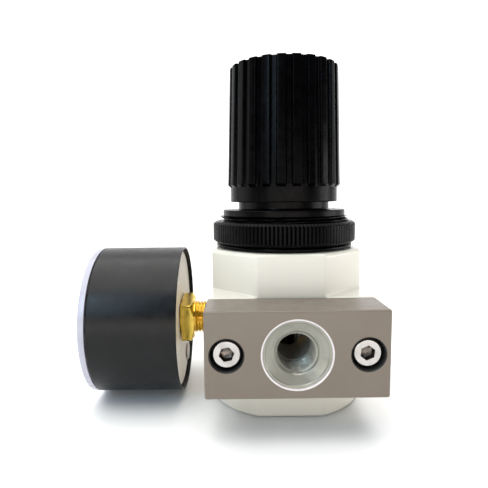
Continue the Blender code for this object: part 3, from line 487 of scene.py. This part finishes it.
def make_body():
    """Painted casting; the bare metal of its bores shows through the ports."""
    block_low, block_high = PLATE_LOW.z, PLATE_HIGH.z
    half_x, half_y = BODY_HIGH.x, BODY_HIGH.y
    cove = 0.4
    bowl_outline = polygon_outline(8, 2 * BODY_HALF, 1.0)

    def within_block(inset):
        return [(max(-BODY_HALF, min(BODY_HALF, x)), max(-BODY_HALF, min(BODY_HALF, y)))
                for x, y in bowl_outline(inset)]

    turns = [k / 4 * math.pi / 2 for k in range(5)]
    cove_levels = [(block_low + 4.0, -cove)]
    cove_levels += [(block_high + cove * (1 - math.cos(a)), -cove * (1 - math.sin(a))) for a in turns]
    bowl_levels = cove_levels + eased(block_high + 1.5, BODY_HIGH.z, 0.0, 1.1, 5)[5:]
    bowl = prism(within_block, bowl_levels)
    foot = prism(foot_outline, eased(0.0, block_low + 3.0, 1.1, 0.5, 5))
    block = prism(box_outline(half_x, half_y, 0.7), eased(block_low, block_high, 0.6, 0.6))
    chambers = lathe([
        (0.0, -1.0), (10.1, -1.0), (10.1, 0.0), (9.5, 0.6), (9.5, 6.0), (8.5, 6.0), (8.5, 19.0), (6.3, 19.0),
        (6.3, 22.5), (8.5, 22.5), (8.5, 30.0), (13.0, 30.0), (13.0, 33.7), (16.5, 33.7),
        (16.5, BODY_HIGH.z + 1.0), (0.0, BODY_HIGH.z + 1.0)], 96)
    tools = [("UNION", foot, 0), ("UNION", block, 0), ("DIFFERENCE", chambers, 1)]
    reach = half_x + 1.0
    for side, low, high in ((-1, 12.0, PORT_Z), (1, PORT_Z, 28.0)):
        port = lathe([(0.0, 11.0), (4.3, 11.0), (4.3, reach), (0.0, reach)], 48)
        turn = Matrix.Rotation(-side * math.pi / 2, 4, "X")
        port = placed(port, Matrix.Translation((0, 0, PORT_Z)) @ turn)
        passage = placed(lathe([(0.0, low), (3.0, low), (3.0, high), (0.0, high)], 32),
                         Matrix.Translation((0, side * 10.2, 0)))
        tools += [("DIFFERENCE", port, 1), ("DIFFERENCE", passage, 1)]
    for side in (-1, 1):
        mouth = lathe([(0.0, 12.0), (4.9, 12.0), (4.9, half_x - 0.5), (5.4, half_x), (5.4, reach),
                       (0.0, reach)], 64)
        turn = Matrix.Rotation(side * math.pi / 2, 4, "Y")
        mouth = placed(mouth, Matrix.Translation((0, 0, PORT_Z)) @ turn)
        passage = placed(lathe([(0.0, PORT_Z), (2.5, PORT_Z), (2.5, 28.0), (0.0, 28.0)], 32),
                         Matrix.Translation((side * 10.2, 0, 0)))
        tools += [("DIFFERENCE", mouth, 1), ("DIFFERENCE", passage, 1)]
    for side_y in (-1, 1):
        for side_x in (-1, 1):
            hole = lathe([(0.0, 0.0), (2.3, 0.0), (2.3, 9.6), (0.0, 9.6)], 32)
            turn = Matrix.Rotation(-side_y * math.pi / 2, 4, "X") @ Matrix.Rotation(math.pi, 4, "X")
            seat = Matrix.Translation((side_x * SCREW_X, side_y * (half_y + 1.0), PORT_Z))
            tools.append(("DIFFERENCE", placed(hole, seat @ turn), 1))
    materials = [finishes["body_paint"], finishes["cast_metal"]]
    body = carved(bowl, tools, materials)
    piece("regulator_body", body, "housing", ["body_paint", "cast_metal"], ["body"], sharp=30)


def port_cutter():
    """Stepped rim, cone and G1/8 thread, cut into a plate from its face."""
    crest, root, pitch, start, end = 4.3, 4.86, PIPE_PITCH, 1.75, 8.2
    female = thread(root, root - crest, pitch, start, end, (0.4, 0.4))
    profile = [(0.0, -1.0), (8.12, -1.0)]
    profile += rounded([(8.12, 0.0, 0), (7.74, 0.12, 0.08), (7.66, 0.42, 0.1), (7.25, 0.45, 0.1),
                        (7.05, 0.64, 0.15), (5.1, 1.5, 0.3), (root, start, 0)])
    profile += rows_between(root, start, end, pitch / 16)[1:]
    profile += [(crest, end), (4.1, end + 0.2), (4.1, PLATE_DEPTH + 1.0), (0.0, PLATE_DEPTH + 1.0)]
    cutter = lathe(profile, 144, female)
    for face in cutter.faces:
        middle = face.calc_center_median()
        # The rim chamfer takes the lighter metal, partly real bare metal and partly painted highlight.
        rim = middle.z < 0.3 and math.hypot(middle.x, middle.y) > 7.7
        face.material_index = 3 if rim else 4 if middle.z > end else 1
    return cutter


def make_plate(place, name):
    plate = prism(box_outline(PLATE_HIGH.x, PORT_Z - PLATE_LOW.z, 0.55), eased(0.0, PLATE_DEPTH, 0.5, 0.5))
    groove = lathe([(5.65, PLATE_DEPTH - 1.8), (7.75, PLATE_DEPTH - 1.8), (7.75, PLATE_DEPTH + 1.0),
                    (5.65, PLATE_DEPTH + 1.0)], 64)
    tools = [("DIFFERENCE", port_cutter(), None), ("DIFFERENCE", groove, 4)]
    for x in (-SCREW_X, SCREW_X):
        counterbore = lathe([
            (0.0, -1.0), (3.98, -1.0), (3.98, 0.0), (3.74, 0.24), (3.72, 5.6), (2.3, 5.6),
            (2.3, PLATE_DEPTH + 1.0), (0.0, PLATE_DEPTH + 1.0)], 64)
        # The counterbore walls take index 2, the near-black painted shade.
        tools.append(("DIFFERENCE", placed(counterbore, Matrix.Translation((x, 0, 0))), 2))
    looks = ["plate_paint", "port_metal", "recess_painted_shade", "port_rim_highlight", "cast_metal"]
    bm = carved(plate, tools, [finishes[look] for look in looks])
    piece("port_plate_" + name, bm, "housing", looks, [name + "_plate"], place, sharp=30)


def screw_solid():
    """M4 socket head cap screw, its head's face 1 mm below the plate's."""
    knurl_low, knurl_high, pitch = 1.85, 4.7, 0.7
    threaded = thread(1.98, 0.35, pitch, 12.0, 20.4)

    def shape(angles, reach, height):
        if abs(reach[0] - 3.4) < 1e-6 and knurl_low <= height <= knurl_high:
            fade = min(1.0, (height - knurl_low) / 0.3, (knurl_high - height) / 0.3)
            return reach - 0.11 * fade * (0.5 - 0.5 * np.cos(36 * angles))
        return threaded(angles, reach, height)

    profile = [(0.0, 3.5), (1.35, 3.15, 6), (1.5, 3.0, 6), (1.5, 1.04, 6), (1.53, 1.0, 6)]
    profile += rounded([(1.95, 1.0, 0), (2.95, 1.0, 0.3), (3.4, 1.55, 0.2), (3.4, knurl_low, 0)])
    profile += rows_between(3.4, knurl_low, knurl_high, 0.15)[1:]
    profile += rounded([(3.4, 4.75, 0), (3.4, 5.0, 0.15), (1.98, 5.0, 0.1), (1.98, 5.3, 0)])
    profile += rows_between(1.98, 12.0, 20.4, pitch / 8)
    profile += [(1.98, 20.5), (1.5, 21.0), (0.0, 21.0)]
    screw = lathe(profile, 144, shape)
    for face in screw.faces:
        middle = face.calc_center_median()
        # Faces inside the hex socket take the darker copy of the nickel, painted shade.
        face.material_index = int(math.hypot(middle.x, middle.y) < 1.76 and 1.02 < middle.z < 4.0)
    return screw


def make_plates_and_screws():
    for place, name in ((INLET, "inlet"), (OUTLET, "outlet")):
        make_plate(place, name)
        for hand, x, turn in (("left", -SCREW_X, 0.35), ("right", SCREW_X, 0.12)):
            seat = place @ Matrix.Translation((x, 0, 0)) @ Matrix.Rotation(turn, 4, "Z")
            node = name + "_screw_" + hand
            piece("cap_screw_" + name + "_" + hand, screw_solid(), "housing",
                  ["nickel", "socket_painted_shade"], [node], seat)


def make_side_plug_and_cap():
    """Blanking plug on the right side and valve cap in the underside."""
    face = BODY_HIGH.x - 0.3
    threaded = thread(4.6, 0.4, PIPE_PITCH, 12.9, face - 0.8)
    profile = [(0.0, 15.6), (2.2, 16.1, 6), (2.5, 16.3, 6), (2.5, face - 0.25, 6), (2.52, face - 0.2, 6),
               (3.0, face)]
    profile += rounded([(3.4, face, 0), (4.25, face, 0.15), (4.6, face - 0.5, 0.1), (4.6, face - 0.8, 0)])
    profile += rows_between(4.6, 12.9, face - 0.8, PIPE_PITCH / 12)[::-1][1:]
    profile += [(4.3, 12.8), (0.0, 12.8)]
    piece("side_plug", lathe(profile, 96, threaded), "housing", ["plug_nickel"],
          ["blanking_plug"], PLUG)

    edge, groove, top = 9.2, 7.4, 5.7
    cap = lathe(rounded([
        (0.0, 0.35, 0), (3.4, 0.35, 0.1), (3.9, 0.0, 0.1), (edge, 0.0, 0.35), (edge, 2.05, 0.15),
        (groove, 2.05, 0.15), (groove, 4.15, 0.15), (edge, 4.15, 0.15), (edge, top, 0.3), (3.1, top, 0.2),
        (3.1, 8.0, 0.2), (2.0, 8.0, 0.2), (2.0, 1.8, 0), (0.0, 1.8, 0)]), 96)
    holes = []
    for x in (-5.0, 5.0):
        hole = lathe([(0.0, -1.0), (1.5, -1.0), (1.5, 0.0), (1.25, 0.25), (1.25, 2.3), (0.0, 2.9)], 32)
        holes.append(("DIFFERENCE", placed(hole, Matrix.Translation((x, 0, 0))), 0))
    piece("underside_cap", carved(cap, holes), "housing", ["cap_brass"], ["valve_cap"])


# ---------------------------------------------------------------- bonnet, nut, knob

def make_bonnet():
    crest, pitch, low, high = 18.0, 1.5, BODY_HIGH.z + 0.3, 50.35
    collar, collar_top, neck, neck_top = 17.1, 52.1, 12.7, BONNET_HIGH.z
    profile = [(13.5, BONNET_LOW.z), (16.2, BONNET_LOW.z), (16.2, low - 0.1), (crest - 0.4, low)]
    profile += rows_between(crest, low, high, pitch / 16)
    profile += rounded([(collar - 0.15, high + 0.02, 0), (collar, high + 0.2, 0), (collar, collar_top, 0.35),
                        (neck, collar_top, 0.5), (neck, neck_top, 0.5), (3.3, neck_top, 0.2), (3.3, 72.5, 0)])
    profile += [(9.3, 72.5), (9.3, 72.0), (9.7, 72.0, 6), (9.7, 49.0, 6), (13.5, 49.0)]
    bm = lathe(profile, 192, thread(crest, 0.92, pitch, low, high, (0.5, 0.05)))
    piece("bonnet_neck", bm, "housing", ["black_plastic"], ["bonnet"])


def make_nut_and_washer():
    """Panel nut with a fine straight knurl, over its plain slip washer."""
    inner, outer, teeth, depth = 18.3, NUT_HIGH.x, 120, 0.34
    low, high = NUT_LOW.z, NUT_HIGH.z

    def knurl(angles, reach, height):
        if reach[0] < outer - 0.75 or height > high - 0.15:
            return reach
        share = (angles * teeth / TAU) % 1
        groove = np.clip(1 - np.minimum(share, 1 - share) / 0.26, 0, 1)
        fade = min(1.0, max(0.0, (height - low - 0.55) / 0.35), (high - 0.12 - height) / 0.12)
        return reach - depth * groove * fade * np.where(reach > outer - 0.4, 1.0, 0.8)

    profile = rounded([(inner, low, 0.15), (outer - 0.75, low, 0.15), (outer, low + 0.7, 0.2),
                       (outer, low + 0.95, 0)], steps=3)
    profile += rows_between(outer, low + 0.95, high - 1.1, 0.35)[1:]
    profile += rounded([(outer, high - 1.05, 0), (outer, high - 0.75, 0.25), (outer - 0.75, high - 0.1, 0.2),
                        (outer - 0.95, high - 0.1, 0), (outer - 1.0, high, 0), (inner + 0.25, high, 0.1),
                        (inner, high - 0.25, 0)], steps=4)
    bm = lathe(profile, teeth * 8, knurl)
    piece("knurled_panel_nut", bm, "panel_nut", ["black_plastic"], ["panel_nut"], sharp=40)
    ring = rounded([(18.3, WASHER_LOW.z, 0.1), (19.1, WASHER_LOW.z, 0.25), (19.1, WASHER_HIGH.z, 0.35),
                    (18.3, WASHER_HIGH.z, 0.1)], True)
    piece("nut_washer", lathe(ring, 160), "slip_washer", ["black_plastic"], ["slip_washer"])


def make_knob():
    """Ribbed knob with a plain skirt, hollow below, with a hexagonal socket in its hub."""
    ribs, rib_low, rise, ramp = 24, 58.15, 0.8, 0.75
    low, high = KNOB_LOW.z, KNOB_HIGH.z
    foot, head, edge = 14.9, 14.1, 0.8
    shares = (-0.5, -0.41, -0.355, -0.335, -0.315, -0.285, -0.262, -0.24, -0.2, -0.12, 0.0,
              0.12, 0.2, 0.24, 0.262, 0.285, 0.315, 0.335, 0.355, 0.41)
    across = (0.0, 0.0, 0.02, 0.10, 0.30, 0.74, 0.91, 0.97, 1.0, 1.0, 1.0)
    heights = np.array(across + across[-2:0:-1])
    angles = np.array([(i + 0.5 + share) * TAU / ribs for i in range(ribs) for share in shares])
    rib = np.tile(heights, ribs)

    def ribbed(_, reach, height):
        if height <= rib_low or reach[0] < head - 1.5:
            return reach
        return reach + rise * min(1.0, (height - rib_low) / ramp) * rib

    profile = rounded([(13.1, 87.4, 0), (13.1, low + 0.4, 0), (13.4, low, 0.1), (14.95, low, 0.35),
                       (14.95, rib_low - 0.1, 0)])
    profile += rows_between(14.95, rib_low, rib_low + ramp, 0.19)
    for k in range(1, 15):
        share = k / 14
        height = rib_low + ramp + (high - edge - rib_low - ramp) * share
        profile.append((foot + (head - foot) * share, height))
    profile += rounded([(head, high - edge, 0), (head, high, edge), (head - 2.2, high, 0)], steps=6)[1:]
    profile += rounded([(head - 2.6, high, 0), (head - 3.0, high - 0.25, 0.1), (3.0, high - 0.25, 0.1),
                        (2.4, high - 0.45, 0.1), (0.0, high - 0.45, 0)])
    inside = [(0.0, 87.4), (3.8, 87.4, 6), (3.8, 80.3, 6), (4.1, 80.0, 6)]
    inside += rounded([(6.7, 80.0, 0), (7.0, 80.3, 0), (7.0, 87.4, 0)])
    bm = lathe(inside + profile, angles, ribbed)
    piece("ribbed_knob", bm, "knob", ["black_plastic"], ["knob"], sharp=32)


# ---------------------------------------------------------------- gauge

def make_gauge_shell():
    radius, rear, front = CASE_HIGH.z - PORT_Z, -CASE_HIGH.x, -CASE_LOW.x
    case = rounded([
        (radius - 0.4, rear, 0.1), (radius, rear, 0.18), (radius, front, 0.35), (19.0, front, 0.1),
        (19.0, 32.5, 0.2), (17.2, 32.5, 0.2), (17.2, 31.5, 0.2), (radius - 0.4, 31.5, 0.1)], True)
    piece("gauge_casing", lathe(case, 192), "housing", ["gauge_black"], ["gauge_case"], GAUGE)

    plate = lathe(rounded([
        (5.0, 29.75, 0.1), (6.6, 29.75, 0.3), (7.2, 29.6, 0.3), (19.2, 29.6, 0.25), (19.6, 30.0, 0.1),
        (19.6, 31.2, 0.1), (5.0, 31.2, 0.1)], True), 160)
    spot = Matrix.Translation((-8.0, -13.3, 0))
    hole = lathe([(0.0, 28.0), (2.25, 28.0), (2.25, 29.6), (2.1, 29.8), (2.1, 32.5), (0.0, 32.5)], 48)
    plate = carved(plate, [("DIFFERENCE", placed(hole, spot), 0)], [finishes["cream_paint"]])
    piece("gauge_back", plate, "housing", ["cream_paint"], ["gauge_back_plate"], GAUGE)
    stopper = lathe(rounded([
        (0.0, 28.95, 0), (1.5, 28.9, 0.6), (2.6, 29.02, 0.15), (2.6, 29.3, 0.1), (1.8, 29.3, 0.1),
        (1.8, 31.2, 0.2), (0.0, 31.2, 0)]), 48)
    piece("relief_stopper", stopper, "housing", ["stopper"], ["relief_plug"], GAUGE @ spot)

    window = lathe(rounded([
        (0.0, 51.8, 0), (17.2, 51.8, 0.3), (17.2, 49.8, 0.1), (18.7, 49.8, 0.2), (18.7, 51.3, 0.1),
        (20.28, 51.3, 0.12), (20.28, 53.0, 0.55), (18.6, 53.0, 0.25), (18.2, 52.7, 0.25),
        (0.0, 52.7, 0)]), 192)
    for face in window.faces:
        middle = face.calc_center_median()
        face.material_index = 1 if math.hypot(middle.x, middle.y) > 17.15 else 0
    piece("gauge_lens", window, "housing", ["window_clear", "window_rim"],
          ["gauge_window"], GAUGE)


def make_gauge_socket():
    """Pipe thread, wrench square with a turned chamfer, neck and the block inside the casing."""
    crest, pitch, tip, rear, front = 4.6, PIPE_PITCH, 13.5, 25.8, 29.3
    half, chamfer = 5.4, math.tan(math.radians(60))
    threaded = thread(crest, 0.55, pitch, tip, rear - 0.35, (0.9, 0.6))

    def shape(angles, reach, height):
        if reach[0] != half:
            return threaded(angles, reach, height)
        sector = TAU / 4
        square = half / np.cos((angles + sector / 2) % sector - sector / 2)
        square = np.minimum(square, half * 1.37)
        return np.minimum(square, half + 0.35 + (height - rear) * chamfer)

    profile = [(0.0, tip - 0.3), (crest - 0.5, tip - 0.3)]
    profile += rows_between(crest, tip, rear - 0.35, pitch / 16)
    profile += [(crest - 0.3, rear - 0.2), (crest - 0.3, rear)]
    profile += rows_between(half, rear, rear + 1.2, 0.1)
    profile += [(half, front - 0.6), (half, front), (4.6, front), (4.6, 33.0), (0.0, 33.0)]
    socket = placed(lathe(profile, 144, shape), Matrix.Rotation(SQUARE_TURN, 4, "Z"))
    block = placed(prism(box_outline(4.0, 10.0, 0.4), eased(31.5, 38.2, 0.2, 0.2)),
                   Matrix.Translation((0, -5.5, 0)))
    tube_way = placed(lathe([(0.0, 0.0), (1.0, 0.0), (1.0, 13.5), (0.0, 13.5)], 24),
                      Matrix.Translation((0, 0, 34.9)) @ Matrix.Rotation(math.pi / 2, 4, "X"))
    way = lathe([(0.0, 10.0), (1.5, 10.0), (1.5, 35.0), (0.0, 35.0)], 48)
    tools = [("UNION", block, 0), ("DIFFERENCE", way, 0), ("DIFFERENCE", tube_way, 0)]
    for x in (-2.6, 2.6):
        hole = placed(lathe([(0.0, 35.5), (0.95, 35.5), (0.95, 39.2), (0.0, 39.2)], 24),
                      Matrix.Translation((x, -5.0, 0)))
        tools.append(("DIFFERENCE", hole, 0))
    piece("brass_socket", carved(socket, tools), "housing", ["brass"], ["gauge_socket"], GAUGE,
          sharp=30)


def bar(bm, length, width, low, high, place):
    """Add a small upright bar, centred on its place."""
    x, y = length / 2, width / 2
    corners = [(sx * x, sy * y, z) for z in (low, high) for sx, sy in ((-1, -1), (1, -1), (1, 1), (-1, 1))]
    verts = [bm.verts.new(place @ Vector(corner)) for corner in corners]
    for quad in ((3, 2, 1, 0), (4, 5, 6, 7), (0, 1, 5, 4), (1, 2, 6, 5), (2, 3, 7, 6), (3, 0, 4, 7)):
        bm.faces.new([verts[i] for i in quad])


def number_solid(text, size, low, high, place):
    """Thin solid numeral centred on its place."""
    curve = bpy.data.curves.new("numeral", "FONT")
    curve.body, curve.size = text, size
    curve.align_x, curve.align_y = "CENTER", "CENTER"
    curve.extrude = (high - low) / 2
    curve.resolution_u = 3
    made = bpy.data.objects.new("numeral", curve)
    bpy.context.scene.collection.objects.link(made)
    bpy.context.view_layer.update()
    mesh = made.evaluated_get(bpy.context.evaluated_depsgraph_get()).to_mesh()
    bm = bmesh.new()
    bm.from_mesh(mesh)
    bm.transform(place @ Matrix.Translation((0, 0, (low + high) / 2)))
    bpy.data.objects.remove(made)
    bpy.data.curves.remove(curve)
    return bm


def merged(target, other):
    mesh = bpy.data.meshes.new("merge")
    other.to_mesh(mesh)
    other.free()
    target.from_mesh(mesh)
    bpy.data.meshes.remove(mesh)


def make_dial():
    """White dial with a 0 to 10 scale over 270 degrees, and the pointer at zero."""
    rear, front = 48.2, 48.6
    zero, sweep, steps = 225, 270, 50
    step = sweep / steps
    dial = lathe(rounded([(1.2, rear, 0.05), (18.4, rear, 0.1), (18.4, front, 0.12),
                          (1.2, front, 0.05)], True), 160)
    holes = [("DIFFERENCE", placed(lathe([(0.0, 47.0), (0.9, 47.0), (0.9, 50.0), (0.0, 50.0)], 24),
                                   Matrix.Translation((x, 2.0, 0))), 0) for x in (-5.5, 5.5)]
    piece("dial_disc", carved(dial, holes), "housing", ["dial_white"], ["gauge_dial"], GAUGE)

    scale = bmesh.new()
    low, high = front + 0.01, front + 0.05
    for i in range(steps + 1):
        turn = Matrix.Rotation(math.radians(zero - step * i), 4, "Z")
        length, width = (1.4, 0.2) if i % 5 else (2.6, 0.42)
        bar(scale, length, width, low, high, turn @ Matrix.Translation((16.9 - length / 2, 0, 0)))
    for i in range(0, steps + 1, 10):
        a = math.radians(zero - step * i)
        spot = Matrix.Translation((11.9 * math.cos(a), 11.9 * math.sin(a), 0))
        merged(scale, number_solid(str(i // 5), 3.4, low, high, spot))
    arc_points = [(radius * math.cos(math.radians(a)), radius * math.sin(math.radians(a)))
                  for radius, turns in ((16.9, range(zero, zero - sweep - 1, -3)),
                                        (17.2, range(zero - sweep, zero + 1, 3)))
                  for a in turns]
    rows = [[scale.verts.new((x, y, z)) for x, y in arc_points] for z in (low, high)]
    count = len(arc_points)
    for i in range(count):
        j = (i + 1) % count
        scale.faces.new((rows[0][i], rows[0][j], rows[1][j], rows[1][i]))
    for i in range(count // 2 - 1):
        for row in rows:
            scale.faces.new((row[i], row[i + 1], row[count - 2 - i], row[count - 1 - i]))
    bmesh.ops.recalc_face_normals(scale, faces=scale.faces)
    piece("dial_scale", scale, "housing", ["dial_ink"], (), GAUGE)

    hand_levels = eased(49.9, 50.5, 0.08, 0.14, 2)

    def hand_outline(inset):
        return [(-4.6 + inset, -0.95 + inset), (-2.2, -0.62 + inset), (0.0, -0.75 + inset),
                (9.0, -0.4 + inset), (14.0 - inset, -0.1), (14.0 - inset, 0.1), (9.0, 0.4 - inset),
                (0.0, 0.75 - inset), (-2.2, 0.62 - inset), (-4.6 + inset, 0.95 - inset)]

    hub = lathe(rounded([(0.0, 49.9, 0), (1.7, 49.9, 0.1), (1.7, 50.9, 0.25), (1.3, 51.3, 0.2),
                         (0.0, 51.3, 0)]), 48)
    bore = lathe([(0.0, 49.0), (0.8, 49.0), (0.8, 50.9), (0.0, 50.9)], 24)
    hand = carved(prism(hand_outline, hand_levels), [("UNION", hub, 0), ("DIFFERENCE", bore, 0)])
    piece("gauge_hand", hand, "pointer", ["pointer_black"], ["pointer"],
          GAUGE @ Matrix.Rotation(math.radians(zero), 4, "Z"))


# ---------------------------------------------------------------- soft and sprung pieces inside

def make_springs_and_seals():
    """Springs and the diaphragm, each on a mesh of its own, and the round seals."""
    spring_low, spring_high = span("range_spring")
    range_wire, valve_wire, cord = 1.2, 0.45, 0.65
    wound = coil(8.0, spring_low.z + range_wire, spring_high.z - range_wire, 6.5, range_wire)
    spring = piece("range_coil", wound, "housing", ["steel"], ["range_spring"])
    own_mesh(spring)
    spring_low, spring_high = span("valve_spring")
    wound = coil(4.3, spring_low.z + valve_wire, spring_high.z - valve_wire, 5, valve_wire)
    spring = piece("valve_coil", wound, "housing", ["steel"], ["valve_spring"])
    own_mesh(spring)
    low, high = span("diaphragm")
    sheet = lathe(rounded([
        (2.8, 36.5, 0.1), (9.5, 36.5, 1.0), (13.0, 34.0, 1.0), (16.2, 34.0, 0.1), (16.2, 34.8, 0.1),
        (13.3, 34.8, 1.0), (9.8, 37.3, 1.0), (2.8, 37.3, 0.1)], True), 96)
    sheet = piece("diaphragm_sheet", sheet, "housing", ["rubber"], ["diaphragm"])
    height = high.z - low.z
    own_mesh(sheet)
    seals = (("inlet_oring", 6.7, PLATE_DEPTH - 0.75, INLET),
             ("outlet_oring", 6.7, PLATE_DEPTH - 0.75, OUTLET),
             ("valve_cap_oring", 8.45, 3.1, Matrix()))
    for node, ring, height, place in seals:
        section = [(ring + cord * math.cos(k * TAU / 16), height + cord * math.sin(k * TAU / 16))
                   for k in range(16)]
        piece("seal_" + node, lathe(section, 96), "housing", ["rubber"], [node], place)


def finish_cad_nodes():
    """Procedural finishes for the CAD nodes that stay, all of them inside the casing or the body."""
    by_slot = {"brass": "brass", "spring_steel": "steel", "nickel": "nickel", "rubber": "rubber"}
    slots = {part["node"]: part["material_slot"] for part in frame["record"]["subparts"]}
    for node, made in frame["nodes"].items():
        if made.hide_render:
            continue
        look = finishes[by_slot[slots[node]]]
        for slot in made.material_slots:
            slot.material = look


# ---------------------------------------------------------------- studio

def area_light(name, location, target, size, power, colour=(1.0, 1.0, 1.0)):
    light = bpy.data.lights.new(name, "AREA")
    light.shape = "RECTANGLE"
    light.size, light.size_y = size
    light.energy = power
    light.color = colour
    made = bpy.data.objects.new(name, light)
    made.location = location
    made.rotation_euler = (Vector(location) - Vector(target)).to_track_quat("Z", "Y").to_euler()
    bpy.context.scene.collection.objects.link(made)


def make_studio():
    """Broad sun overhead, soft boxes left and right, a low warm fill and a cool strip, over a pale floor."""
    middle = (0.0, 0.0, 0.045)
    sun = bpy.data.lights.new("overhead", "SUN")
    sun.energy = 3.7
    sun.angle = math.radians(70)
    sun.color = (1.0, 0.99, 0.97)
    lamp = bpy.data.objects.new("overhead", sun)
    lamp.rotation_euler = Vector((-0.16, -0.06, 1.0)).to_track_quat("Z", "Y").to_euler()
    bpy.context.scene.collection.objects.link(lamp)
    area_light("left_box", (-0.55, 0.05, 0.16), middle, (0.35, 0.35), 0.7)
    area_light("right_box", (0.55, -0.02, 0.07), (0, 0, 0.02), (0.30, 0.14), 0.7)
    area_light("low_fill", (0.0, -0.50, 0.05), (0.0, 0.0, 0.01), (0.8, 0.10), 0.85, (1.0, 0.90, 0.82))
    area_light("cool_box", (-0.21, -0.35, 0.25), (0, 0, 0.08), (0.06, 0.24), 0.6, (0.60, 0.82, 1.0))

    # The world is plain white as a backdrop, and lights the object only from behind
    world = bpy.data.worlds.new("studio")
    bpy.context.scene.world = world
    world.use_nodes = True
    tree = world.node_tree
    background = tree.nodes["Background"]
    background.inputs["Color"].default_value = (1.0, 1.0, 1.0, 1.0)
    direction = tree.nodes.new("ShaderNodeTexCoord")
    axes = tree.nodes.new("ShaderNodeSeparateXYZ")
    backdrop = tree.nodes.new("ShaderNodeMapRange")
    for socket, value in (("From Min", 0.1), ("From Max", 0.8), ("To Min", 0.06), ("To Max", 1.5)):
        backdrop.inputs[socket].default_value = value
    seen = tree.nodes.new("ShaderNodeLightPath")
    strength = tree.nodes.new("ShaderNodeMath")
    strength.operation = "MAXIMUM"
    tree.links.new(direction.outputs["Generated"], axes.inputs["Vector"])
    tree.links.new(axes.outputs["Y"], backdrop.inputs["Value"])
    tree.links.new(backdrop.outputs["Result"], strength.inputs[0])
    tree.links.new(seen.outputs["Is Camera Ray"], strength.inputs[1])
    tree.links.new(strength.outputs["Value"], background.inputs["Strength"])

    bm = bmesh.new()
    bmesh.ops.create_grid(bm, x_segments=8, y_segments=8, size=3.0)
    mesh = bpy.data.meshes.new("floor")
    bm.to_mesh(mesh)
    bm.free()
    mesh.materials.append(finishes["floor"])
    floor = bpy.data.objects.new("floor", mesh)
    floor.location.z = -0.0002
    bpy.context.scene.collection.objects.link(floor)
    bpy.context.scene.view_settings.view_transform = "Standard"


def make_camera():
    camera = bpy.data.cameras.new("camera")
    camera.sensor_width = 36.0
    camera.lens = 31.82
    camera.clip_start = 0.005
    made = bpy.data.objects.new("camera", camera)
    turn = (Matrix.Rotation(math.radians(-0.40), 4, "Z") @ Matrix.Rotation(math.radians(-6.15), 4, "X")
            @ Matrix.Rotation(math.radians(0.52), 4, "Y") @ Matrix.Rotation(math.pi / 2, 4, "X"))
    made.matrix_world = Matrix.Translation(Vector((-12.2, -123.7, 55.48)) * MM) @ turn
    bpy.context.scene.collection.objects.link(made)
    bpy.context.scene.camera = made


make_finishes()
make_body()
make_plates_and_screws()
make_side_plug_and_cap()
make_bonnet()
make_nut_and_washer()
make_knob()
make_gauge_shell()
make_gauge_socket()
make_dial()
make_springs_and_seals()
finish_cad_nodes()
make_studio()
make_camera()
